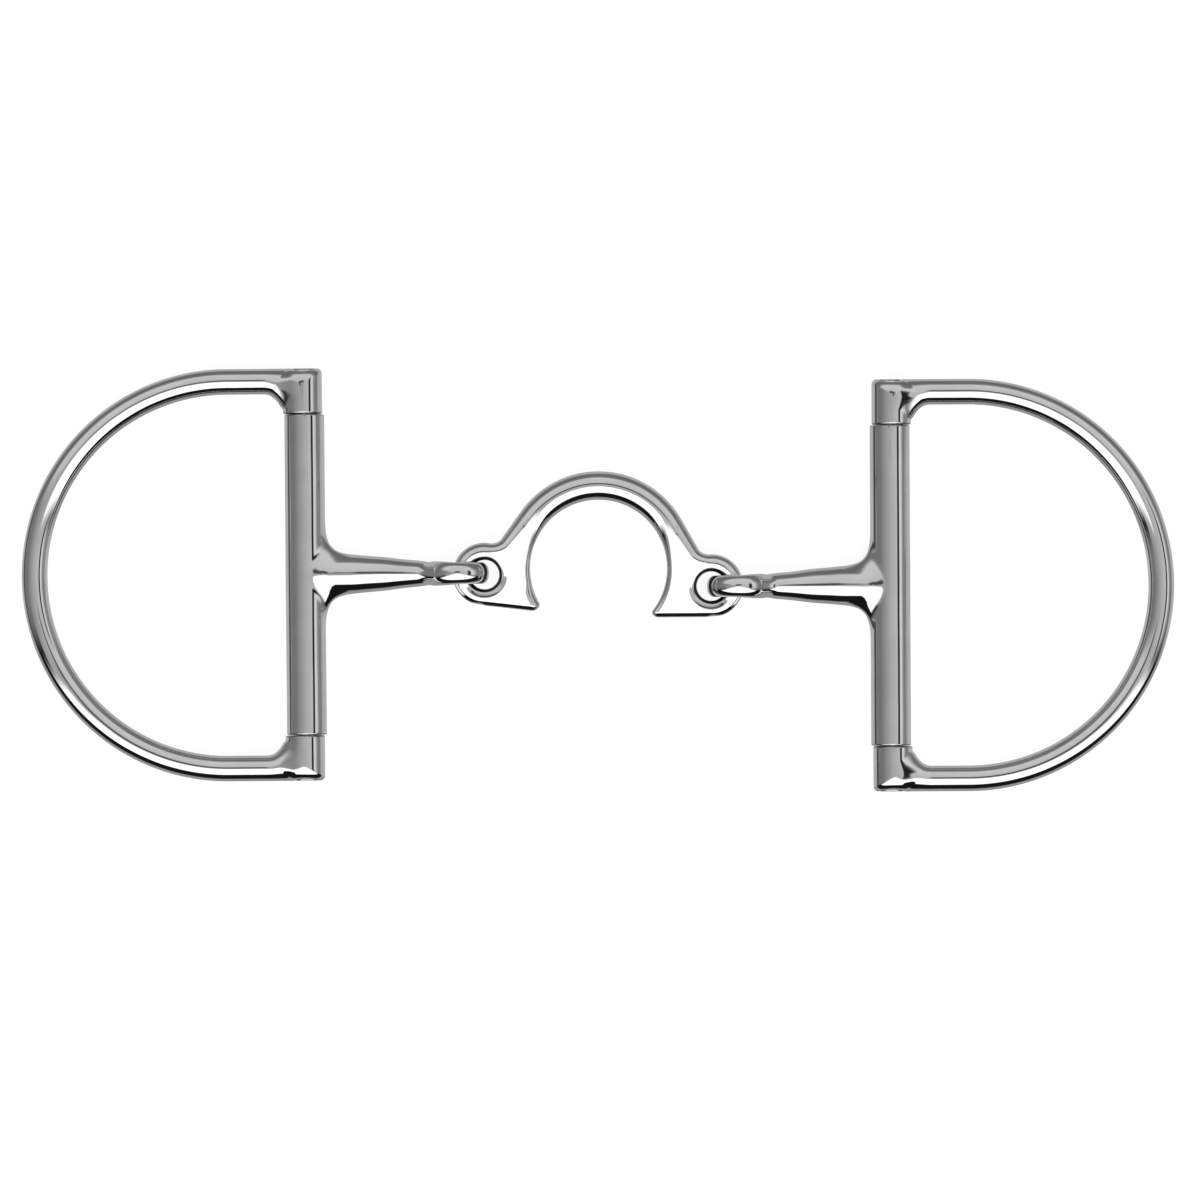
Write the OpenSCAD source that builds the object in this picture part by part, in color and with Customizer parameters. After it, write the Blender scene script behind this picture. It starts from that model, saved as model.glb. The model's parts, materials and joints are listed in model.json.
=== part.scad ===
// Dee-ring snaffle bit with a hinged port, lying on a table.
//
// X runs along the mouthpiece, Y points from the toes of the port to its arch, and Z is up.
// The origin is on the table, under the middle of the whole bit.
// Each piece is drawn in a frame of its own, with outward as +X, and then laid in its place.

/* [Mouthpiece] */
// Width of the mouth, between the inner faces of the two barrels, with the mouthpiece straight
mouth_w = 127; // [105:0.5:154]
// Diameter of each barrel, and of the lugs that hold it
barrel_d = 9.3; // [8:0.1:12]
// Width of an arm where it leaves the fillet at its barrel
arm_root_d = 9.4; // [7:0.1:11]
// Width of an arm at its neck, beside the loop
arm_neck_d = 6.1; // [5:0.1:7.4]
// How far the faces of an arm are set in from the faces of its barrel
arm_inset = 0.25; // [0.1:0.05:1]
// Radius of the fillet between an arm and its barrel
arm_fillet_r = 4.2; // [2:0.1:6]

/* [Loops] */
// Outer diameter of the loop at the end of each arm
loop_d = 14.6; // [13.5:0.1:18]
// Thickness of a loop's wire, from its hole to its outside
loop_wire_t = 3.4; // [2.6:0.1:4]
// Width of a loop's wire along the hole
loop_wire_w = 5; // [4.2:0.1:5.6]

/* [Port] */
// Radius of the arch, to the middle of its rod
arch_r = 19.05; // [15:0.05:24]
// Diameter of the arch's rod
arch_rod_d = 6.5; // [5:0.1:7.5]
// Height of the arch's middle above the line of the eyes
arch_up = 2.95; // [1:0.05:5]
// Angle up the arch at which each flat leg begins
leg_start = 48; // [36:1:60]
// Width of each leg between the opening and the hole of its eye
leg_web = 7.15; // [5:0.05:10]
// Width of the rim round the hole of each eye
rim_w = 3.8; // [3:0.1:4.6]
// Radius of the rounded lip at the mouth of each eye hole
eye_lip_r = 0.9; // [0.3:0.1:1.1]
// Slope of each flat face of the port, thinner towards the toes
face_slope = 4; // [0:0.5:6]
// Height of each leg's outer corner above the top of its eye
leg_corner_above = 0.8; // [0.2:0.1:1.5]
// How far each leg's outer corner stands out from the arch
leg_corner_out = 0.9; // [0.4:0.1:1.5]
// How far the flat legs are set back from the inside of the arch's rod
leg_set_back = 0.15; // [0.1:0.05:0.4]
// Length over which the flat of each leg runs out into the round rod
run_out = 4; // [1:0.5:8]
// How far the toes reach below the bottoms of the eyes
toe_below = 0.5; // [0.1:0.1:1.5]
// How far each toe points in from the widest part of the opening
toe_in = 2.3; // [1:0.1:4]
// Radius of each toe's tip
toe_r = 0.7; // [0.4:0.1:1]

/* [Dee rings] */
// Overall height of each dee ring
dee_h = 96; // [76:1:116]
// Reach of each dee ring, from the hinge pin's axis to the outside of the bow
dee_reach = 66.2; // [60:0.1:80]
// Diameter of the round rod that a dee ring is made of
rod_d = 6; // [5:0.1:8]
// Height of each lug
lug_h = 10.6; // [9.2:0.1:16]
// Radius of the fillet inside each corner, between the rod and its lug
corner_r = 4.5; // [1:0.1:5]
// Radius of the rounded edge at the end of each lug
lug_edge_r = 1; // [0.3:0.1:1.6]

/* [Hinge pins] */
// Diameter of each hinge pin
pin_d = 5; // [3.5:0.1:6]
// How far the pin's head spreads beyond the pin, in the end of a lug
pin_head_lip = 0.7; // [0.3:0.1:0.9]
// Depth of the pin's head
pin_head_t = 1; // [0.5:0.1:1.5]

/* [Fits] */
// Gap all round a pin, inside its barrel
pin_clear = 0.08; // [0.02:0.01:0.1]
// Gap between each end of a barrel and its lug
seam_gap = 0.15; // [0.05:0.05:0.4]
// How much wider the hole of an eye is than the wire of its loop
eye_play = 1.8; // [1.6:0.1:4]
// Play left between a loop's wire and the rim of its eye
loop_play = 1.05; // [0.8:0.05:1.4]
// Gap between the rim of an eye and the loop that it lies in
rim_gap = 0.15; // [0.05:0.05:0.3]
// How far the port sinks below the middles of the loops, to lie on their lower wires
rim_sink = 0.2; // [0.1:0.05:0.5]

/* [Lying pose] */
// Turn of the port on the table
port_turn = -2.9; // [-6:0.1:6]
// Turn of the left arm and dee ring on the table
left_turn = 0.5; // [-4:0.1:4]
// Turn of the right arm and dee ring on the table
right_turn = 0.3; // [-4:0.1:4]
// How far the left loop lies from the middle of its eye, towards the arch
left_lie = 0; // [-0.3:0.1:0.3]
// How far the right loop lies from the middle of its eye, towards the arch
right_lie = 0.3; // [-0.3:0.1:0.3]

/* [Hidden] */
$fn = 96;
over = 1;

barrel_r = barrel_d / 2;
pin_r = pin_d / 2;
rod_r = rod_d / 2;
bow_r = dee_h / 2 - rod_r;
bow_out = dee_reach - dee_h / 2;
lug_foot = dee_h / 2 - lug_h;
barrel_l = 2 * (lug_foot - seam_gap);
corner_fillet = min(corner_r, bow_r - rod_r - lug_foot);
corner_t = 0.8 * rod_d;

loop_r = loop_d / 2;
loop_hole_r = loop_r - loop_wire_t;
loop_mid_r = loop_r - loop_wire_t / 2;
loop_end_r = loop_wire_t / 2;
loop_flat = loop_wire_w - loop_wire_t;

opening_r = arch_r - arch_rod_d / 2;
arch_out_r = arch_r + arch_rod_d / 2;
eye_hole_r = (loop_wire_w + eye_play) / 2;
eye_r = eye_hole_r + rim_w;
eye_x = opening_r + leg_web + eye_hole_r;
leg_corner_up = eye_r + leg_corner_above;
toe_drop = eye_r + toe_below;
thinning = tan(face_slope);

// Where a loop's middle lies out from the middle of the port, and the arm's length from there
loop_x = eye_x + eye_hole_r + loop_hole_r - loop_play;
arm_l = mouth_w / 2 + barrel_r - loop_x;

// Heights of the loop, barrel and bow when each touches the table, and the slopes between them
loop_z = loop_r;
arm_slope = asin((loop_z - barrel_r) / arm_l);
dee_slope = asin((barrel_r - rod_r) / (dee_reach - rod_r));

// The rim of each eye passes through its loop. At each distance along the loop's width, the room
// for half its thickness is what the loop's hole leaves over the inner lip and the outer edge.
rim_skew = tan(max(abs(left_turn - port_turn), abs(right_turn - port_turn)));
lie_most = max(abs(left_lie), abs(right_lie));
function loop_hole_at(y) = y < loop_flat / 2 ? loop_hole_r
    : loop_mid_r - sqrt(pow(loop_end_r, 2) - pow(y - loop_flat / 2, 2));
function lip_in(y) = loop_x - eye_x + rim_skew * y
    - sqrt(pow(eye_hole_r + eye_lip_r, 2) - pow(y + lie_most, 2));
function lip_room(y) = sqrt(pow(loop_hole_at(y) - eye_lip_r - rim_gap, 2) - pow(lip_in(y), 2))
    + eye_lip_r - thinning * (y + lie_most);
edge_room = sqrt(pow(loop_hole_r - rim_gap, 2) - pow(eye_x + eye_r - loop_x, 2));
room_steps = 8;
lip_rooms = [for (i = [0 : room_steps]) lip_room(loop_wire_w / 2 * i / room_steps)];
eye_half_t = min(edge_room, min(lip_rooms)) - rim_sink;
port_z = loop_z - rim_sink;

function turned(angle, point) = [
    point[0] * cos(angle) - point[1] * sin(angle),
    point[0] * sin(angle) + point[1] * cos(angle)
];
function loop_place(side) = turned(port_turn, [side * loop_x, side < 0 ? left_lie : right_lie]);
function out_from_loop(side, turn, reach) = loop_place(side) + turned(turn, [side * reach, 0]);

// The plan of the whole bit, used to bring the middle of its box over the origin
barrel_reach = arm_l * cos(arm_slope);
bow_mid_reach = barrel_reach + bow_out * cos(dee_slope);
bow_end_reach = barrel_reach + (dee_reach - rod_r) * cos(dee_slope);
middle = [
    (out_from_loop(-1, left_turn, bow_end_reach)[0] + out_from_loop(1, right_turn, bow_end_reach)[0]) / 2,
    (out_from_loop(-1, left_turn, bow_mid_reach)[1] + out_from_loop(1, right_turn, bow_mid_reach)[1]) / 2
];

// Half widths of an arm at a distance from its barrel's axis: across it, and from face to face
fillet_end = barrel_r + arm_fillet_r;
neck_at = arm_l - loop_r - 2.8;
arm_end = arm_l - loop_mid_r;
function arm_taper(s) = arm_root_d / 2
    + (arm_neck_d - arm_root_d) / 2 * min(1, max(0, (s - fillet_end) / (neck_at - fillet_end)));
function fillet_rise(s) = arm_fillet_r - sqrt(max(0, pow(arm_fillet_r, 2) - pow(fillet_end - s, 2)));
function arm_half_w(s) = arm_taper(s) + (s < fillet_end ? fillet_rise(max(s, barrel_r)) : 0)
    - (s > neck_at ? (arm_neck_d - loop_wire_w) / 2 * (s - neck_at) / (arm_end - neck_at) : 0);
function arm_half_t(s) = min(barrel_r - arm_inset, arm_taper(s))
    + (s > neck_at ? 1.2 * pow((s - neck_at) / (arm_end - neck_at), 2) : 0);

arm_sides = 28;
fillet_rings = 8;
neck_rings = 6;
arm_rings = concat(
    [0],
    [for (i = [0 : fillet_rings]) fillet_end - arm_fillet_r * cos(90 * i / fillet_rings)],
    [fillet_end + (neck_at - fillet_end) / 2],
    [for (i = [0 : neck_rings]) neck_at + (arm_end - neck_at) * i / neck_rings]
);

// ---- Shared shapes ----

// A straight-sided ring section: a stadium whose long way lies along Y
module wire_section() {
    for (side = [-1, 1])
        translate([0, side * loop_flat / 2])
            circle(r = loop_end_r);
    square([loop_wire_t, loop_flat], center = true);
}

// A cylinder along Y, centred on the hinge axis
module along_y(radius, length) {
    rotate([90, 0, 0])
        cylinder(r = radius, h = length, center = true);
}

// ---- Port link ----

module eye_hole() {
    cylinder(r = eye_hole_r, h = arch_rod_d + 2 * over, center = true);
    for (side = [0, 1])
        mirror([0, 0, side])
            translate([0, 0, eye_half_t - eye_lip_r])
                rotate_extrude()
                    difference() {
                        square([eye_hole_r + eye_lip_r, eye_lip_r + over]);
                        translate([eye_hole_r + eye_lip_r, 0])
                            circle(r = eye_lip_r);
                    }
}

// One leg of the port in plan, on the +X side, with its eye and its toe
module leg_plan() {
    inside = turned(leg_start / 3, [opening_r, 0]) + [0, arch_up];
    top = turned(leg_start, [arch_r + arch_rod_d / 5, 0]) + [0, arch_up];
    corner = [arch_out_r + leg_corner_out, leg_corner_up];
    toe = [opening_r - toe_in + toe_r, toe_r - toe_drop];
    difference() {
        union() {
            translate([eye_x, 0])
                circle(r = eye_r);
            polygon([inside, top, corner, [eye_x, eye_r], [eye_x, -eye_r],
                     [toe[0], -toe_drop], [toe[0] - toe_r, toe[1]]]);
            translate(toe)
                circle(r = toe_r);
        }
        translate([0, arch_up])
            circle(r = opening_r + leg_set_back);
    }
}

// The space between the two sloping faces of the port.
// It opens out where the flat legs run into the round rod.
module between_faces() {
    reach = eye_x + eye_r + over;
    bottom = -toe_drop - over;
    leg_top = arch_up + arch_r * sin(leg_start);
    top = arch_up + arch_out_r + over;
    face_at = function(y) eye_half_t + thinning * min(y, leg_corner_up);
    side = [[bottom, face_at(bottom)], [leg_corner_up, face_at(leg_corner_up)], [leg_top, face_at(leg_top)],
            [leg_top + run_out, arch_rod_d / 2 + over], [top, arch_rod_d / 2 + over]];
    below = [for (i = [len(side) - 1 : -1 : 0]) [side[i][0], -side[i][1]]];
    rotate([90, 0, 90])
        linear_extrude(height = 2 * reach, center = true)
            polygon(concat(side, below));
}

module port() {
    color("gainsboro")
    difference() {
        intersection() {
            union() {
                translate([0, arch_up, 0])
                    rotate([0, 0, leg_start / 4])
                        rotate_extrude(angle = 180 - leg_start / 2)
                            translate([arch_r, 0])
                                circle(d = arch_rod_d);
                for (side = [0, 1])
                    mirror([side, 0, 0])
                        linear_extrude(height = 2 * arch_rod_d, center = true)
                            leg_plan();
            }
            between_faces();
        }
        for (side = [-1, 1])
            translate([side * eye_x, 0, 0])
                eye_hole();
    }
}

// ---- Cannon: barrel, arm and loop in one piece ----

// The arm is swept through rings of oval outline, from inside its barrel to inside its loop
module arm() {
    count = len(arm_rings);
    points = [for (s = arm_rings, i = [0 : arm_sides - 1])
        [-s, arm_half_w(s) * cos(360 * i / arm_sides), arm_half_t(s) * sin(360 * i / arm_sides)]];
    walls = [for (r = [0 : count - 2], i = [0 : arm_sides - 1])
        let (next = (i + 1) % arm_sides, a = r * arm_sides, b = a + arm_sides)
        each [[a + i, a + next, b + next], [a + i, b + next, b + i]]];
    first = [for (i = [arm_sides - 1 : -1 : 0]) i];
    last = [for (i = [0 : arm_sides - 1]) (count - 1) * arm_sides + i];
    polyhedron(points = points, faces = concat([first], walls, [last]));
}

module cannon() {
    color("silver")
    difference() {
        union() {
            along_y(barrel_r, barrel_l);
            arm();
            translate([-arm_l, 0, 0])
                rotate([90, 0, 0])
                    rotate_extrude()
                        translate([loop_mid_r, 0])
                            wire_section();
        }
        along_y(pin_r + pin_clear, barrel_l + 2 * over);
    }
}

// ---- Dee ring: bow and two lugs in one piece ----

// The upper lug, drawn about the hinge axis, with a rounded outer edge
module lug() {
    translate([0, lug_foot, 0])
        rotate([-90, 0, 0])
            rotate_extrude() {
                square([barrel_r, lug_h - lug_edge_r]);
                square([barrel_r - lug_edge_r, lug_h]);
                translate([barrel_r - lug_edge_r, lug_h - lug_edge_r])
                    circle(r = lug_edge_r);
            }
}

// The fillet in the upper inside corner
module corner_web() {
    inside = bow_r - rod_r - corner_fillet;
    linear_extrude(height = corner_t, center = true)
        difference() {
            translate([0, inside])
                square([barrel_r + corner_fillet, corner_fillet + rod_r]);
            translate([barrel_r + corner_fillet, inside])
                circle(r = corner_fillet);
        }
}

module dee_ring() {
    color("lightgray")
    difference() {
        union() {
            translate([bow_out, 0, 0])
                rotate([0, 0, -90])
                    rotate_extrude(angle = 180)
                        translate([bow_r, 0])
                            circle(r = rod_r);
            for (side = [0, 1])
                mirror([0, side, 0]) {
                    translate([0, bow_r, 0])
                        rotate([0, 90, 0])
                            cylinder(r = rod_r, h = bow_out);
                    lug();
                    corner_web();
                }
        }
        hinge_pin_shape();
    }
}

// ---- Hinge pin, spread into a shallow cone at both ends ----

module hinge_pin_shape() {
    along_y(pin_r, dee_h);
    for (side = [0, 1])
        mirror([0, side, 0])
            translate([0, dee_h / 2 - pin_head_t, 0])
                rotate([-90, 0, 0])
                    cylinder(r1 = pin_r, r2 = pin_r + pin_head_lip, h = pin_head_t);
}

// ---- Laying each piece in its place ----

module lay_cannon(side, turn) {
    place = loop_place(side) - middle;
    translate([place[0], place[1], loop_z])
        rotate([0, 0, turn])
            mirror([side < 0 ? 1 : 0, 0, 0])
                rotate([0, arm_slope, 0])
                    translate([arm_l, 0, 0])
                        children();
}

module lay_dee(side, turn) {
    place = out_from_loop(side, turn, barrel_reach) - middle;
    translate([place[0], place[1], barrel_r])
        rotate([0, 0, turn])
            mirror([side < 0 ? 1 : 0, 0, 0])
                rotate([0, dee_slope, 0])
                    children();
}

module lay_port() {
    translate([-middle[0], -middle[1], port_z])
        rotate([0, 0, port_turn])
            children();
}

module hinge_pin() {
    color("darkgray")
        hinge_pin_shape();
}

module port_link() {
    lay_port() port();
}

module left_cannon() {
    lay_cannon(-1, left_turn) cannon();
}

module right_cannon() {
    lay_cannon(1, right_turn) cannon();
}

module left_dee_ring() {
    lay_dee(-1, left_turn) dee_ring();
}

module right_dee_ring() {
    lay_dee(1, right_turn) dee_ring();
}

module left_hinge_pin() {
    lay_dee(-1, left_turn) hinge_pin();
}

module right_hinge_pin() {
    lay_dee(1, right_turn) hinge_pin();
}

port_link();
left_cannon();
right_cannon();
left_dee_ring();
right_dee_ring();
left_hinge_pin();
right_hinge_pin();
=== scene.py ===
"""Dee-ring snaffle bit with a hinged port, in polished steel, lying on a pale table.

Each piece is a smooth casting, built round its CAD node from a distance field in the piece's own
frame. In that frame outward is +X, Y runs along the hinge axes, and lengths are in millimetres.
"""

import json
import math

import bpy
import numpy as np
from mathutils import Matrix, Vector


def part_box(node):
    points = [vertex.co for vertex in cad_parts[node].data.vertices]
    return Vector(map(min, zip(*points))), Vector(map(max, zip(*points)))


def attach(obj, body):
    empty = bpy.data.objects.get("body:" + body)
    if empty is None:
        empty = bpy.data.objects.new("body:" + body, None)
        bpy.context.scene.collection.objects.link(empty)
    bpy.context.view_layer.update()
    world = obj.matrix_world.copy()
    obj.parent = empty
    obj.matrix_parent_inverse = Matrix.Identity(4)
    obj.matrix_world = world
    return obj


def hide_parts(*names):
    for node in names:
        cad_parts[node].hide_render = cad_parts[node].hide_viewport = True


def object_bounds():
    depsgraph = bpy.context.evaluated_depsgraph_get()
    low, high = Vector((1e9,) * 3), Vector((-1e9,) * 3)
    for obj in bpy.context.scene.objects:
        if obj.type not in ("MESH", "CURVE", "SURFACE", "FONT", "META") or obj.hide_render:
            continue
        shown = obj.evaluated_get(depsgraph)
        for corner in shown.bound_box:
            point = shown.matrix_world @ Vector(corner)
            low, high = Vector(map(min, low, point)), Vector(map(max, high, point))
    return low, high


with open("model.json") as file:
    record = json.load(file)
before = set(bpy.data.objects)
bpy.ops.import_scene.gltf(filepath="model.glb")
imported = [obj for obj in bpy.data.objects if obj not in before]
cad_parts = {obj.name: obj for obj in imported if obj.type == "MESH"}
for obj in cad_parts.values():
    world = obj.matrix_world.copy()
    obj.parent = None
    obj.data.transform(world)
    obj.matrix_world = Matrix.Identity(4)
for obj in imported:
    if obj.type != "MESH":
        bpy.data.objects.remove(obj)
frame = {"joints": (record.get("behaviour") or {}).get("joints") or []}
cad_box = [list(corner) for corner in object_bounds()]

MM = 0.001

# ---- Sizes of the pieces, in millimetres ----

BARREL_R = 4.65
BARREL_HALF_L = 37.25
BARREL_EDGE_R = 0.35
BORE_R = 2.58
PIN_R = 2.5

ROD_R = 3.0
BOW_R = 45.0
BOW_OUT = 18.2
DEE_TOP = 48.0
DEE_REACH = 63.2
LUG_FOOT = 37.4
LUG_R = 4.58
LUG_OUT = 0.4
LUG_END_R = 1.3
LUG_FOOT_R = 0.35
LUG_TOP_R = 6.2
ELBOW_SWELL = 1.25
ELBOW_FILLET, ELBOW_SIDE_FILLET = 1.25, 2.0
PIN_HEAD_R = 3.2
PIN_HEAD_T = 1.0

LOOP_MID_R = 5.6
LOOP_WIRE_R = 1.7
LOOP_HALF_W = 2.5
LOOP_TIP_SWELL = 0.35
ARM_END = 29.95
ARM_FILLET = 5.5
ARM_TOP_FILLET = 1.5
FILLET_BLEND = (0.6, 1.0, 1.5)
NECK_FILLET = 1.9
SMALLEST_FILLET = 0.05

EYE_X = 26.35
EYE_HOLE_R = 3.4
EYE_HALF_T = 2.42
FACE_SLOPE = math.tan(math.radians(2.9))
TOP_HALF_T = 3.24
OUTER_R = 22.15
OPENING_R = 15.9
LOOP_X = 32.6
LIE_STEP = 0.3

# The port's outline: the middles of its round stretches and the straight edge between them
OUTER_Y = 3.2
OPENING_Y = 2.8
EDGE_START = (18.68, 15.1)
EDGE_NORMAL = (0.843, 0.538)
LOBE_X, LOBE_Y, LOBE_R = 26.45, 0.1, 7.3
EDGE_END_X = 25.4
SHOULDER_FILLET = 1.7
SOLE_X, SOLE_Y, SOLE_RISE = 14.7, 7.87, 0.058
SOLE_BEVEL = 1.0
TOE_X, TOE_Y, TOE_SKEW = 13.1, 7.1, 0.3
TOE_SLANT = (0.75, 0.66)
EYE_RIM, EYE_RIM_SLOPE = 0.8, 1.6
EYE_WEAR = 0.20


# ---- Distance fields ----


def round_union(a, b, r):
    """Two solids joined with a fillet of radius r."""
    return np.maximum(r, np.minimum(a, b)) - np.hypot(np.maximum(r - a, 0), np.maximum(r - b, 0))


def round_cut(a, b, r):
    """What two solids share, with its edge rounded to radius r."""
    return np.minimum(-r, np.maximum(a, b)) + np.hypot(np.maximum(r + a, 0), np.maximum(r + b, 0))


def smooth(x, start, end):
    """A smooth step from 0 at start to 1 at end."""
    t = np.clip((x - start) / (end - start), 0, 1)
    return t * t * (3 - 2 * t)


def smooth_table(stations, values, low, high, blur=0.9, count=600):
    """A table of values as an evenly spaced curve with its corners smoothed."""
    s = np.linspace(low, high, count)
    v = np.interp(s, stations, values)
    step = s[1] - s[0]
    reach = int(3 * blur / step)
    kernel = np.exp(-0.5 * (np.arange(-reach, reach + 1) * step / blur) ** 2)
    padded = np.pad(v, reach, mode="edge")
    return s, np.convolve(padded, kernel / kernel.sum(), mode="valid")


def oval(u, v, half_u, half_v):
    """Distance from an oval's edge, close to the true one near it."""
    k = np.hypot(u / half_u, v / half_v)
    g = np.hypot(u / half_u**2, v / half_v**2)
    return k * (k - 1) / np.maximum(g, 1e-6)


def dee_field(x, y, z):
    """A dee ring without its pin: the round bow, its two lugs and the fillets between them."""
    up = np.abs(y)
    out = np.maximum(x - BOW_OUT, 0)
    swell = ELBOW_SWELL * (1 - smooth(x, 2.0, 9.5))
    rod = oval(np.hypot(out, y) - BOW_R + swell, z, ROD_R + swell, ROD_R + 0.5 * swell)
    rod = round_cut(rod, -1.0 - x, 1.0)
    top = oval(np.maximum(up - DEE_TOP + LUG_R, 0), z, LUG_R, LUG_TOP_R)
    lug = round_cut(np.hypot(x - LUG_OUT, z) - LUG_R, top, LUG_END_R)
    lug = round_cut(lug, LUG_FOOT - up, LUG_FOOT_R)
    # The fillet is widest in the plane of the ring, and fades towards the lug's foot and top
    low = 1 - smooth(np.abs(z), 1.8, 4.2)
    fillet = ELBOW_FILLET + ELBOW_SIDE_FILLET * low * (1 - smooth(up, 44.5, 47.0))
    fillet = fillet * smooth(up, LUG_FOOT, LUG_FOOT + 1.9)
    fillet = 0.2 + fillet * smooth(x, -2.0, 2.0) * (1 - smooth(up, 45.0, 47.5))
    body = round_cut(round_union(rod, lug, fillet), up - DEE_TOP, 0.1)
    flare = np.clip((up - DEE_TOP + PIN_HEAD_T) / PIN_HEAD_T, 0, 1)
    head = np.hypot(x, z) - PIN_R - (PIN_HEAD_R - PIN_R) * flare
    return round_cut(body, -head, 0.12)


# Half width and half depth of the arm along its length from the barrel's axis
ARM_S, ARM_W = smooth_table(
    [0, 9, 12, 13.8, 15.7, 17.6, 19.4, 21.3, 23.2, 25, 26.9, 28.8, 30.6],
    [4.55, 4.55, 4.5, 4.3, 4.15, 4.03, 3.85, 3.56, 3.33, 3.15, 3.03, 2.7, 2.3],
    0,
    36,
)
_, ARM_T = smooth_table(
    [0, 6, 12, 16, 20, 24, 27, 30], [3.7, 3.9, 3.9, 3.7, 3.5, 3.3, 3.3, 3.5], 0, 36
)


def cannon_field(x, y, z):
    """The barrel, the tapered arm towards -X and the upright loop at its end, with the pin's bore."""
    s = -x
    wide = np.abs(y)
    barrel = round_cut(np.hypot(x, z) - BARREL_R, wide - BARREL_HALF_L, BARREL_EDGE_R)
    half_w = np.interp(s, ARM_S, ARM_W)
    half_t = np.interp(s, ARM_S, ARM_T)
    arm = oval(y, z, half_w, half_t)
    arm = round_cut(round_cut(arm, s - ARM_END, 0.6), 0.5 - s, 0.5)
    # The mean of three fillets, so that the reflections bend softly where it starts
    level = 1 - smooth(np.abs(z), 0.5, 4.2)
    fillet = ARM_TOP_FILLET * smooth(s, 0.0, 4.0)
    fillet = fillet + (ARM_FILLET - ARM_TOP_FILLET) * level + SMALLEST_FILLET
    body = sum(round_union(barrel, arm, fillet * k) for k in FILLET_BLEND) / len(FILLET_BLEND)
    from_loop = x + ARM_L
    around = np.hypot(from_loop, z)
    toward = from_loop / np.maximum(around, 1e-6)
    half = LOOP_HALF_W + LOOP_TIP_SWELL * smooth(toward, -0.2, 0.95)
    wire = oval(wide, around - LOOP_MID_R, half, LOOP_WIRE_R)
    body = round_union(body, wire, 0.3 + NECK_FILLET * (1 - smooth(wide, 1.0, 3.2)))
    return round_cut(body, BORE_R - np.hypot(x, z), 0.2)


def chamfer_cut(a, b, width, r):
    """What two solids share, with its edge cut off at an even slant."""
    return round_cut(round_cut(a, b, r), (a + b + width) * math.sqrt(0.5), r)


# Radii of the port's outer and inner edges by degrees above level: round on the arch, small on the legs
PORT_ANGLE, OUTER_BEVEL = smooth_table(
    [-10, 8, 22, 38, 60, 90], [2.2, 2.3, 2.75, 3.1, 3.18, 3.18], -180, 180, blur=4
)
_, INNER_BEVEL = smooth_table(
    [-15, 0, 10, 20, 30, 40, 50, 65, 90],
    [1.35, 1.25, 1.2, 1.55, 2.2, 2.85, 3.08, 3.18, 3.18],
    -180,
    180,
    blur=4,
)


def port_field(x, y, z):
    """The port: a round arch that flattens into two legs, each with an eye and a toe."""
    side = np.sign(x + 1e-9)
    x = np.abs(x)
    from_eye = np.hypot(x - EYE_X, y)
    below = smooth(-(y + 0.45 * (x - EYE_X)) / np.maximum(from_eye, 1e-6), -0.1, 0.9)
    worn = EYE_WEAR * below * (1 - smooth(from_eye, 3.9, 5.5))
    half_t = EYE_HALF_T + FACE_SLOPE * y
    half_t = TOP_HALF_T - 0.5 * (TOP_HALF_T - half_t + np.hypot(TOP_HALF_T - half_t, 0.3))
    slab = np.abs(z) - half_t + worn
    # The outside: the arch's disc, a straight edge that leaves it at a tangent, and the round eye
    disc = np.hypot(x, y - OUTER_Y) - OUTER_R
    from_start = (x - EDGE_START[0], y - EDGE_START[1])
    edge = from_start[0] * EDGE_NORMAL[0] + from_start[1] * EDGE_NORMAL[1]
    along = from_start[0] * EDGE_NORMAL[1] - from_start[1] * EDGE_NORMAL[0]
    wedge = np.maximum(edge, -along)
    wedge = round_cut(wedge, x - EDGE_END_X, 0.5)
    lobe = np.hypot(x - LOBE_X, y - LOBE_Y) - LOBE_R
    outside = round_union(np.minimum(disc, wedge), lobe, SHOULDER_FILLET)
    angle = np.degrees(np.arctan2(y - OPENING_Y, x))
    outer_bevel = np.interp(angle, PORT_ANGLE, OUTER_BEVEL)
    rounded = round_cut(slab, outside, np.minimum(outer_bevel, half_t - 0.02))
    bottom = -(y + SOLE_Y - SOLE_RISE * (x - SOLE_X))
    under = round_cut(outside, bottom, 0.6)
    slanted = chamfer_cut(slab, under, SOLE_BEVEL, 0.25)
    down = smooth(-y, -1.0, 2.0)
    leg = rounded * (1 - down) + slanted * down
    inside = OPENING_R - np.hypot(x, y - OPENING_Y)
    inner_bevel = np.interp(angle, PORT_ANGLE, INNER_BEVEL)
    inner_bevel = inner_bevel + 0.8 * smooth(-y, 0.8, 4.0) * (side < 0)
    leg = round_cut(leg, inside, np.minimum(inner_bevel, half_t - 0.02))
    tip = TOE_SLANT[0] * (TOE_X - TOE_SKEW * side - x) - TOE_SLANT[1] * (y + TOE_Y)
    leg = round_cut(leg, tip, 0.7)
    lip = round_cut(leg, EYE_HOLE_R - from_eye, 0.5)
    cone = slab + (EYE_HOLE_R + EYE_RIM - from_eye) * EYE_RIM_SLOPE
    cone = cone / math.hypot(1, EYE_RIM_SLOPE)
    return round_cut(lip, cone, 0.25)


# ---- A smooth skin over a field ----

CORNERS = np.array([(i, j, k) for i in (0, 1) for j in (0, 1) for k in (0, 1)])
CELL_EDGES = [
    (a, b)
    for a in range(8)
    for b in range(a + 1, 8)
    if np.abs(CORNERS[a] - CORNERS[b]).sum() == 1
]


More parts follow.
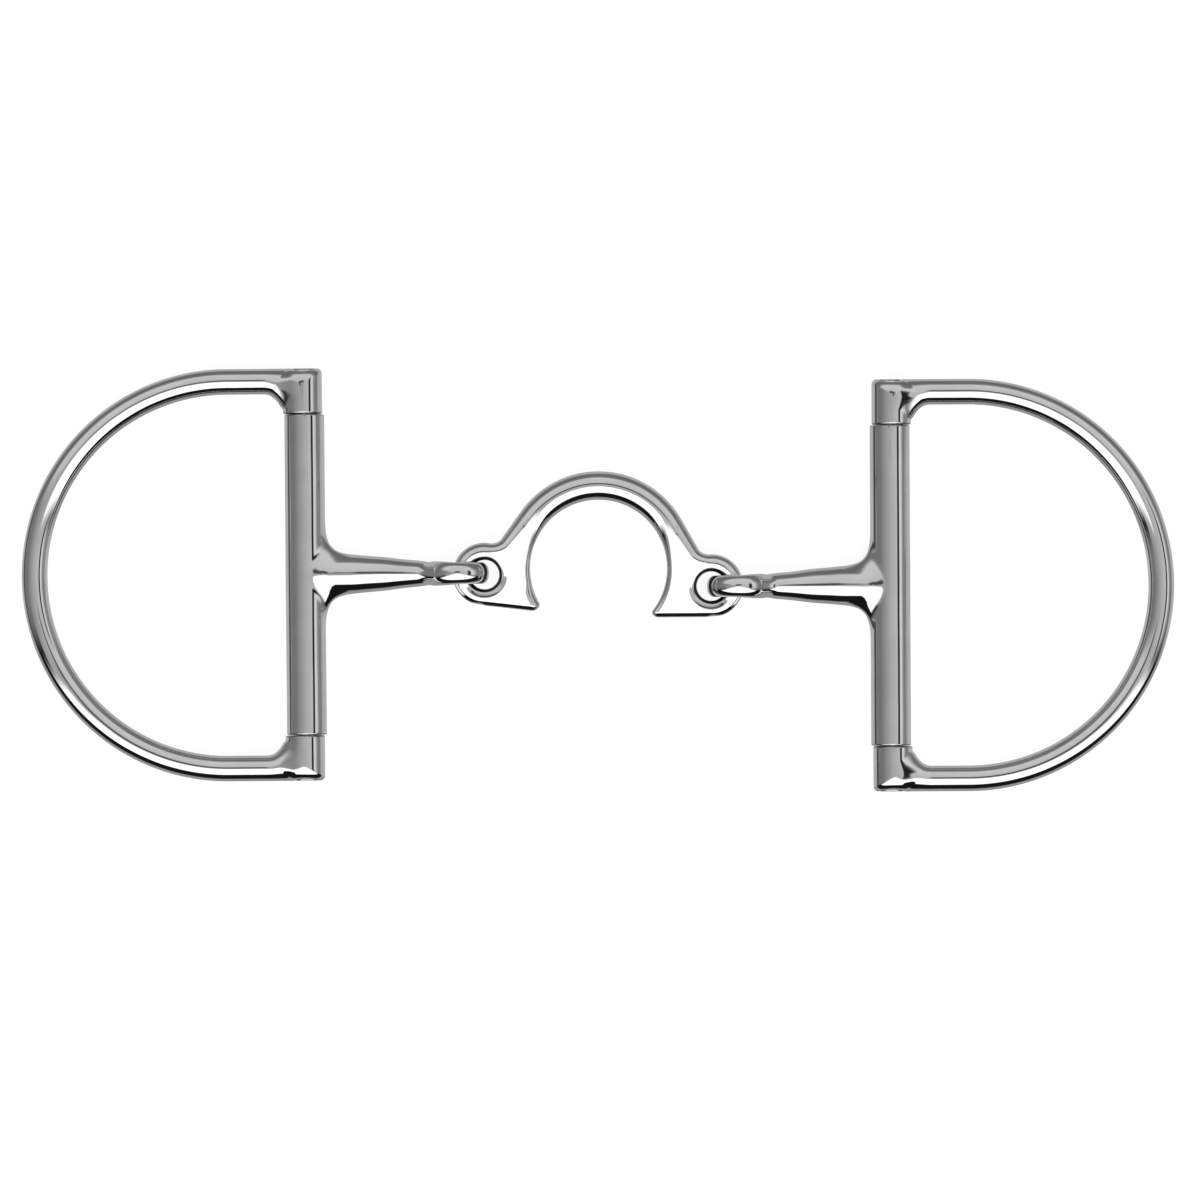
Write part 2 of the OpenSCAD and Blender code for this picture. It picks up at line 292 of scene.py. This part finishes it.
def skin(field, low, high, cell):
    """Points and quads of the surface net where field crosses zero."""
    low = np.array(low, float)
    counts = np.ceil((np.array(high, float) - low) / cell).astype(int) + 1
    axes = [low[k] + cell * np.arange(counts[k]) for k in range(3)]
    grid = field(*np.meshgrid(*axes, indexing="ij", sparse=True))
    grid = np.broadcast_to(grid, counts)
    inside = grid < 0
    total = sum(
        inside[i : i - 1 or None, j : j - 1 or None, k : k - 1 or None].astype(np.int8)
        for i, j, k in CORNERS
    )
    cells = np.argwhere((total > 0) & (total < 8))
    number = np.full(total.shape, -1, np.int64)
    number[tuple(cells.T)] = np.arange(len(cells))
    values = np.stack([grid[tuple((cells + c).T)] for c in CORNERS], axis=1)
    place = np.zeros((len(cells), 3))
    hits = np.zeros(len(cells))
    for a, b in CELL_EDGES:
        va, vb = values[:, a], values[:, b]
        cross = (va < 0) != (vb < 0)
        t = np.where(cross, va / np.where(cross, va - vb, 1), 0)
        place += cross[:, None] * (CORNERS[a] + t[:, None] * (CORNERS[b] - CORNERS[a]))
        hits += cross
    points = low + cell * (cells + place / hits[:, None])
    quads = []
    unit = np.eye(3, dtype=int)
    for axis in range(3):
        lower = np.moveaxis(np.moveaxis(inside, axis, 0)[:-1], 0, axis)
        upper = np.moveaxis(np.moveaxis(inside, axis, 0)[1:], 0, axis)
        at = np.argwhere(lower != upper)
        u, v = unit[(axis + 1) % 3], unit[(axis + 2) % 3]
        around = [number[tuple(p.T)] for p in (at - u - v, at - v, at, at - u)]
        quad = np.stack(around, axis=1)
        outward = lower[tuple(at.T)]
        quad[~outward] = quad[~outward][:, ::-1]
        quads.append(quad)
    return points, np.concatenate(quads)


def slope(field, points, reach=0.02):
    """The field's gradient at points."""
    parts = []
    for axis in range(3):
        step = np.zeros(3)
        step[axis] = reach
        parts.append((field(*(points + step).T) - field(*(points - step).T)) / (2 * reach))
    return np.stack(parts, axis=1)


def settle(field, points, quads, rounds=7):
    """Evens out a net's spacing and lays each point on the surface. Returns points and normals."""
    start = quads.ravel()
    end = np.roll(quads, -1, axis=1).ravel()
    count = np.maximum(np.bincount(start, minlength=len(points)), 1)
    for step in range(rounds):
        n = slope(field, points)
        size = np.maximum((n * n).sum(1), 1e-6)
        if step < rounds - 2:
            mean = np.stack(
                [np.bincount(start, points[end, k], len(points)) / count for k in range(3)], axis=1
            )
            move = mean - points
            move -= n * ((move * n).sum(1) / size)[:, None]
            points = points + 0.6 * move
            n = slope(field, points)
            size = np.maximum((n * n).sum(1), 1e-6)
        points = points - n * np.clip(field(*points.T) / size, -0.2, 0.2)[:, None]
    n = slope(field, points)
    return points, n / np.maximum(np.linalg.norm(n, axis=1), 1e-9)[:, None]


def hand_polish(points, normals, seed, depth=0.010, waves=9):
    """The gentle unevenness of a hand-polished casting, in its points and its normals."""
    draw = np.random.default_rng(seed)
    directions = draw.normal(size=(waves, 3))
    directions /= np.linalg.norm(directions, axis=1)[:, None]
    k = directions * (2 * math.pi / draw.uniform(7, 24, waves))[:, None]
    phase = points @ k.T + draw.uniform(0, 2 * math.pi, waves)
    height = depth * np.sin(phase).sum(1) / math.sqrt(waves) * 1.5
    tilt = depth * 1.5 / math.sqrt(waves) * np.cos(phase) @ k
    tilt -= normals * (tilt * normals).sum(1)[:, None]
    bent = normals - tilt
    height = np.minimum(height, 0) - 0.002
    return points + normals * height[:, None], bent / np.linalg.norm(bent, axis=1)[:, None]


# ---- Where each piece lies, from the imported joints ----

joint_at = {j["name"]: np.array(j["pos_m"]) / MM for j in frame["joints"]}
joint_axis = {j["name"]: np.array(j["axis"]) for j in frame["joints"]}
loop_at = {side: joint_at[f"{side}_cannon_fold"] for side in ("left", "right")}
barrel_at = {side: joint_at[f"{side}_dee_swing"] for side in ("left", "right")}
ARM_L = float(np.linalg.norm(barrel_at["left"] - loop_at["left"]))


def turn_matrix(angle, axis):
    return np.array(Matrix.Rotation(angle, 3, axis))


def side_place(side, slope_angle):
    """The rotation of a cannon or dee ring: mirrored on the left, pitched, then turned on the table."""
    axis = joint_axis[f"{side}_dee_swing"]
    axis = axis * np.sign(axis[1])
    turn = math.atan2(-axis[0], axis[1])
    mirror = np.diag([-1.0 if side == "left" else 1.0, 1, 1])
    return turn_matrix(turn, "Z") @ mirror @ turn_matrix(slope_angle, "Y")


row_step = loop_at["right"] - loop_at["left"]
port_turn = math.atan2(row_step[1], row_step[0]) - math.atan2(LIE_STEP, 2 * LOOP_X)
port_rotation = turn_matrix(port_turn, "Z")
port_low, port_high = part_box("port_link")
port_middle = (loop_at["left"] + loop_at["right"]) / 2 - port_rotation @ [0, LIE_STEP / 2, 0]
port_middle[2] = (port_low.z + port_high.z) / 2 / MM

arm_slope = math.asin((loop_at["left"][2] - BARREL_R) / ARM_L)
dee_slope = math.asin((BARREL_R - ROD_R) / DEE_REACH)


# ---- Materials ----


class Nodes:
    """Short calls for building a node tree."""

    def __init__(self, tree):
        self.tree = tree

    def add(self, kind, inputs=(), **settings):
        node = self.tree.nodes.new(kind)
        for key, value in settings.items():
            setattr(node, key, value)
        for key, value in dict(inputs).items():
            self.put(node.inputs[key], value)
        return node

    def put(self, socket, value):
        if isinstance(value, bpy.types.NodeSocket):
            self.tree.links.new(value, socket)
        else:
            socket.default_value = value

    def math(self, operation, *values, clamp=False):
        node = self.add("ShaderNodeMath", operation=operation, use_clamp=clamp)
        for socket, value in zip(node.inputs, values):
            self.put(socket, value)
        return node.outputs[0]

    def spread(self, value, low, high, to_low, to_high, kind="SMOOTHSTEP"):
        node = self.add("ShaderNodeMapRange", interpolation_type=kind)
        for socket, number in zip(node.inputs, (value, low, high, to_low, to_high)):
            self.put(socket, number)
        return node.outputs[0]

    def noise(self, vector, scale, detail=3.0, roughness=0.5):
        node = self.add(
            "ShaderNodeTexNoise",
            {"Vector": vector, "Scale": scale, "Detail": detail, "Roughness": roughness},
        )
        return node.outputs[0]

    def mix(self, factor, a, b):
        node = self.add("ShaderNodeMix", data_type="RGBA")
        self.put(node.inputs[0], factor)
        self.put(node.inputs[6], a)
        self.put(node.inputs[7], b)
        return node.outputs[2]


def grey(value, warmth=0.0):
    return (value * (1 + warmth), value, value * (1 - warmth), 1.0)


def new_material(name):
    material = bpy.data.materials.new(name)
    material.use_nodes = True
    material.node_tree.nodes.clear()
    return material, Nodes(material.node_tree)


def polished_steel(name, tone, rough, brushed=0.0):
    """Buffed stainless steel: faint clouding, hairline scratches, and a duller, rougher skin in the
    crevices, where the colour also carries painted shade.
    """
    material, n = new_material(name)
    place = n.add("ShaderNodeTexCoord").outputs["Object"]
    crevice_shade_and_dullness = n.add("ShaderNodeAttribute", attribute_name="crevice_shade_and_dullness").outputs["Fac"]
    cloud = n.noise(place, 140, 4)
    fine = n.noise(place, 2600, 3, 0.6)
    colour = n.mix(n.spread(cloud, 0.3, 0.7, 0, 1), grey(tone * 0.96, 0.006), grey(tone * 1.03, -0.002))
    # Painted shade: the base colour darkens to near black in the crevices, where shade would fall
    colour = n.mix(crevice_shade_and_dullness, colour, grey(tone * 0.07, 0.03))
    scratches = None
    for turn, squeeze in (((0.2, 0.1, 0.5), 26), ((1.1, -0.4, 2.1), 34), ((-0.6, 0.7, 1.2), 30)):
        laid = n.add(
            "ShaderNodeMapping",
            {"Vector": place, "Rotation": turn, "Scale": (1, squeeze, squeeze)},
        ).outputs[0]
        line = n.spread(n.noise(laid, 170, 2, 0.55), 0.66, 0.78, 0, 1)
        scratches = line if scratches is None else n.math("MAXIMUM", scratches, line)
    roughness = n.math("MULTIPLY_ADD", n.spread(cloud, 0.35, 0.75, 0, 1), 0.04, rough)
    roughness = n.math("MULTIPLY_ADD", scratches, 0.05, roughness)
    roughness = n.math("MULTIPLY_ADD", crevice_shade_and_dullness, 0.3, roughness)
    roughness = n.math("MULTIPLY_ADD", n.math("SUBTRACT", fine, 0.5), 0.04, roughness, clamp=True)
    height = n.math("MULTIPLY", scratches, -0.25)
    height = n.math("MULTIPLY_ADD", n.noise(place, 420, 2), 1.6, height)
    height = n.math("MULTIPLY_ADD", fine, 0.10 + brushed, height)
    bump = n.add("ShaderNodeBump", {"Height": height, "Strength": 0.5, "Distance": 4e-6})
    shader = n.add(
        "ShaderNodeBsdfPrincipled",
        {"Base Color": colour, "Metallic": 1.0, "Roughness": roughness, "Normal": bump.outputs[0]},
    )
    output = n.add("ShaderNodeOutputMaterial")
    n.put(output.inputs["Surface"], shader.outputs[0])
    return material


steel = polished_steel("polished_steel", 0.74, 0.02)
pin_steel = polished_steel("pin_steel", 0.62, 0.22, brushed=0.6)


# ---- Pieces ----


def add_piece(name, points, faces, body, node, material, normals=None, crevice_shade_and_dullness=None):
    """Adds a mesh that rides on body and replaces node. Points are in millimetres."""
    mesh = bpy.data.meshes.new(name)
    mesh.from_pydata((points * MM).tolist(), [], faces)
    mesh.shade_smooth()
    if normals is not None:
        mesh.normals_split_custom_set_from_vertices(normals.tolist())
    # The mask of painted crevice shade and rougher skin, read by the material
    attribute = mesh.attributes.new("crevice_shade_and_dullness", "FLOAT", "POINT")
    if crevice_shade_and_dullness is not None:
        attribute.data.foreach_set("value", crevice_shade_and_dullness.astype(np.float32))
    piece = bpy.data.objects.new(name, mesh)
    bpy.context.scene.collection.objects.link(piece)
    mesh.materials.append(material)
    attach(piece, body)
    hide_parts(node)
    return piece


def casting(field, low, high, cell):
    """Points, quads and normals of the skin over field."""
    points, quads = skin(field, low, high, cell)
    points, normals = settle(field, points, quads)
    return points, quads, normals


def lay(name, shape, crevice_shade_and_dullness, rotation, middle, seed, body, node):
    """Adds a polished casting with its own frame turned by rotation and moved to middle."""
    points, quads, normals = shape
    points, normals = hand_polish(points, normals, seed)
    if np.linalg.det(rotation) < 0:
        quads = quads[:, ::-1]
    add_piece(
        name,
        points @ rotation.T + middle,
        quads.tolist(),
        body,
        node,
        steel,
        normals @ rotation.T,
        crevice_shade_and_dullness,
    )


def dip(distance, width):
    """1 in a crevice, fading out over width."""
    return np.exp(-((distance / width) ** 2))


cell = 0.3

# Each casting, and its mask of painted shade and duller skin in the gaps between the pieces, round the
# pin heads, in the bore, inside the loop and in the eyes
dee = casting(dee_field, (-5.2, -49, -5.4), (67.2, 49, 5.4), cell)
px, py, pz = dee[0].T
# Painted shade and a rougher skin at the lug feet and round the pin heads
dee_seam_shade_and_dullness = 0.9 * dip(np.abs(py) - LUG_FOOT + 0.1, 0.3) * (px < 8)
dee_seam_shade_and_dullness += 0.3 * dip(np.hypot(px, pz) - PIN_HEAD_R, 0.25) * smooth(np.abs(py), 47, 47.8)

cannon = casting(cannon_field, (-44, -38.2, -8.3), (5.6, 38.2, 8.3), cell)
px, py, pz = cannon[0].T
# Painted shade and a rougher skin at the barrel ends, in the bore and inside the loop
cannon_crevice_shade_and_dullness = 0.9 * dip(np.abs(py) - BARREL_HALF_L - 0.1, 0.3)
cannon_crevice_shade_and_dullness = np.maximum(cannon_crevice_shade_and_dullness, 0.6 * smooth(BORE_R + 0.4 - np.hypot(px, pz), 0, 0.4))
loop_inside_shade_and_dullness = smooth(LOOP_MID_R - 1.2 - np.hypot(px + ARM_L, pz), 0, 0.5)
cannon_crevice_shade_and_dullness = np.maximum(cannon_crevice_shade_and_dullness, 0.4 * loop_inside_shade_and_dullness)

port = casting(port_field, (-35, -9.5, -4.4), (35, 26.5, 4.4), cell * 0.7)
px, py, pz = port[0].T
# Painted shade and a rougher skin round and in the eye holes
port_eye_shade_and_dullness = 0.95 * smooth(EYE_HOLE_R + 0.85 - np.hypot(np.abs(px) - EYE_X, py), 0, 0.35)

for seed, side in enumerate(("left", "right")):
    rotation = side_place(side, arm_slope)
    lay(
        f"{side}_cannon_casting",
        cannon,
        cannon_crevice_shade_and_dullness,
        rotation,
        barrel_at[side],
        11 + seed,
        f"{side}_cannon",
        f"{side}_cannon",
    )
    rotation = side_place(side, dee_slope)
    lay(
        f"{side}_dee_casting",
        dee,
        dee_seam_shade_and_dullness,
        rotation,
        barrel_at[side],
        21 + seed,
        f"{side}_dee",
        f"{side}_dee_ring",
    )
lay("port_casting", port, port_eye_shade_and_dullness, port_rotation, port_middle, 31, "port", "port_link")


def lathe(profile, around=72):
    """A solid turned about Y from (radius, y) points that start and end on the axis."""
    angles = 2 * math.pi * np.arange(around) / around
    points, faces = [(0, profile[0][1], 0)], []
    for radius, y in profile[1:-1]:
        points += [(radius * math.cos(a), y, radius * math.sin(a)) for a in angles]
    points.append((0, profile[-1][1], 0))
    rows = len(profile) - 2

    def ring(row, i):
        return 1 + row * around + i % around

    for i in range(around):
        faces.append((0, ring(0, i), ring(0, i + 1)))
        for row in range(rows - 1):
            faces.append((ring(row, i), ring(row + 1, i), ring(row + 1, i + 1), ring(row, i + 1)))
        faces.append((len(points) - 1, ring(rows - 1, i + 1), ring(rows - 1, i)))
    return np.array(points, float), faces


# The pin from its lightly domed, spread head down to its plain shank, as (radius, y)
half = [
    (0, DEE_TOP - 0.03),
    (0.9, DEE_TOP - 0.04),
    (1.8, DEE_TOP - 0.06),
    (2.5, DEE_TOP - 0.09),
    (2.9, DEE_TOP - 0.13),
    (PIN_HEAD_R - 0.09, DEE_TOP - 0.20),
    (PIN_HEAD_R - 0.06, DEE_TOP - 0.30),
    (PIN_R, DEE_TOP - PIN_HEAD_T - 0.1),
    (PIN_R, LUG_FOOT),
    (PIN_R, 20),
]
profile = [(r, -y) for r, y in half] + half[::-1]
pin_points, pin_faces = lathe(profile)
pin_faces = [tuple(reversed(f)) for f in pin_faces]
for side in ("left", "right"):
    rotation = side_place(side, dee_slope)
    faces = pin_faces
    if np.linalg.det(rotation) < 0:
        faces = [tuple(reversed(f)) for f in pin_faces]
    pin = add_piece(
        f"{side}_pin",
        pin_points @ rotation.T + barrel_at[side],
        faces,
        f"{side}_dee",
        f"{side}_hinge_pin",
        pin_steel,
    )
    pin.data.set_sharp_from_angle(angle=math.radians(32))


# ---- Table, light and camera ----

TABLE_HALF_W = 3.0
FRAME_WIDTH = 0.2791
FRAME_SHIFT = (0.00047, -0.00466)
CAMERA_HEIGHT = 1.6


def table_material():
    material, n = new_material("table")
    place = n.add("ShaderNodeTexCoord").outputs["Object"]
    colour = n.mix(n.noise(place, 40, 4), grey(0.30, 0.004), grey(0.32, 0.002))
    matt = n.add("ShaderNodeBsdfDiffuse", {"Color": colour})
    lift = n.add("ShaderNodeEmission", {"Color": grey(1.0)})
    seen = n.add("ShaderNodeLightPath").outputs["Is Camera Ray"]
    n.put(lift.inputs["Strength"], n.math("MULTIPLY", seen, 0.86))
    both = n.add("ShaderNodeAddShader")
    n.put(both.inputs[0], matt.outputs[0])
    n.put(both.inputs[1], lift.outputs[0])
    output = n.add("ShaderNodeOutputMaterial")
    n.put(output.inputs["Surface"], both.outputs[0])
    return material


def add_table():
    """A wide pale table just under the bit, not seen in its reflections."""
    corners = [(-TABLE_HALF_W, -TABLE_HALF_W, 0), (TABLE_HALF_W, -TABLE_HALF_W, 0)]
    corners += [(TABLE_HALF_W, TABLE_HALF_W, 0), (-TABLE_HALF_W, TABLE_HALF_W, 0)]
    floor_mesh = bpy.data.meshes.new("table_top")
    floor_mesh.from_pydata(corners, [], [(0, 1, 2, 3)])
    floor_mesh.materials.append(table_material())
    floor = bpy.data.objects.new("table_top", floor_mesh)
    floor.location.z = -0.00002
    floor.visible_glossy = False
    bpy.context.scene.collection.objects.link(floor)


# Brightness by degrees from straight up, from -X or -Y through the zenith to +X or +Y
BANDS_ALONG_X = [
    (-180, 0.55), (-118, 0.55), (-109, 0.08), (-99, 0.08), (-94, 0.21), (-60, 0.23), (-25, 0.40),
    (0, 0.52), (38, 0.64), (41, 0.02), (50, 0.02), (54, 0.86), (63, 0.80), (75, 0.30), (96, 0.20),
    (104, 0.48), (126, 0.56), (180, 0.56),
]
BANDS_ALONG_Y = [
    (-180, 0.38), (-112, 0.38), (-100, 0.01), (-50, 0.01), (-44, 0.40), (-29, 0.46), (0, 0.52),
    (5, 0.08), (12, 0.10), (17, 0.66), (58, 0.74), (70, 0.24), (84, 0.17), (106, 0.20), (116, 0.52),
    (180, 0.52),
]
PANEL_BRIGHTNESS = 1.55
SEEN_BRIGHTNESS = 0.92


def studio_world():
    """A dim room with a large white panel towards -Y and greyer ones elsewhere, by direction."""
    world = bpy.data.worlds.new("studio")
    world.use_nodes = True
    world.node_tree.nodes.clear()
    n = Nodes(world.node_tree)
    way = n.add("ShaderNodeTexCoord").outputs["Generated"]
    split = n.add("ShaderNodeSeparateXYZ", {"Vector": way}).outputs
    xx = n.math("MULTIPLY", split[0], split[0])
    yy = n.math("MULTIPLY", split[1], split[1])
    aside = n.math("ADD", n.math("ADD", xx, yy), 1e-5)
    tilt = n.math("ARCTAN2", n.math("SQRT", aside), split[2])
    tilt = n.math("MULTIPLY", tilt, 180 / math.pi)
    tilt_x = n.math("MULTIPLY", tilt, n.math("SIGN", split[0]))
    tilt_y = n.math("MULTIPLY", tilt, n.math("SIGN", split[1]))

    def ramp(tilt, stops):
        node = n.add("ShaderNodeValToRGB")
        n.put(node.inputs[0], n.spread(tilt, -180, 180, 0, 1, "LINEAR"))
        elements = node.color_ramp.elements
        while len(elements) < len(stops):
            elements.new(0.5)
        for element, (at, value) in zip(elements, stops):
            element.position = (at + 180) / 360
            element.color = grey(value)
        return node.outputs[0]

    along_x = ramp(tilt_x, BANDS_ALONG_X)
    along_y = ramp(tilt_y, BANDS_ALONG_Y)
    # Which of the two bands a direction shows, by its bearing. The -Y ones reach further round.
    near = n.math("MULTIPLY_ADD", n.math("LESS_THAN", split[1], 0), 0.8, 1)
    share = n.math("MULTIPLY", n.math("DIVIDE", yy, aside), near)
    share = n.spread(share, 0.03, 0.26, 0, 1)
    share = n.math("MULTIPLY", share, n.spread(tilt, 2, 6, 0, 1))
    room = n.mix(share, along_x, along_y)
    # The white panel, by its lean from straight up towards -Y and by its bearing
    lean = n.math("MULTIPLY", n.math("ARCTAN2", split[1], split[2]), 180 / math.pi)
    panel = n.math("MULTIPLY", n.spread(lean, -58, -54, 0, 1), n.spread(lean, -4.4, -2.0, 1, 0))
    cut = n.math("MULTIPLY_ADD", n.math("LESS_THAN", split[0], 0), 0.05, 0.07)
    ratio = n.math("SUBTRACT", n.math("DIVIDE", yy, aside), cut)
    panel = n.math("MULTIPLY", panel, n.spread(ratio, 0, 0.2, 0, 1))
    lit = n.mix(panel, room, grey(PANEL_BRIGHTNESS))
    seen = n.add("ShaderNodeLightPath").outputs["Is Camera Ray"]
    lit = n.mix(seen, lit, grey(SEEN_BRIGHTNESS))
    background = n.add("ShaderNodeBackground", {"Color": lit, "Strength": 1.0})
    output = n.add("ShaderNodeOutputWorld")
    n.put(output.inputs["Surface"], background.outputs[0])
    bpy.context.scene.world = world


def add_camera():
    """A long lens straight above the bit, as in the photo."""
    low, high = (Vector(corner) for corner in cad_box)
    middle = (low + high) / 2
    camera_data = bpy.data.cameras.new("camera")
    camera_data.sensor_width = 36
    camera_data.lens = 36 * CAMERA_HEIGHT / FRAME_WIDTH
    camera = bpy.data.objects.new("camera", camera_data)
    camera.location = (
        middle.x + FRAME_SHIFT[0],
        middle.y + FRAME_SHIFT[1],
        CAMERA_HEIGHT + 0.005,
    )
    bpy.context.scene.collection.objects.link(camera)
    bpy.context.scene.camera = camera


add_table()
studio_world()
bpy.context.scene.view_settings.view_transform = "Standard"
add_camera()
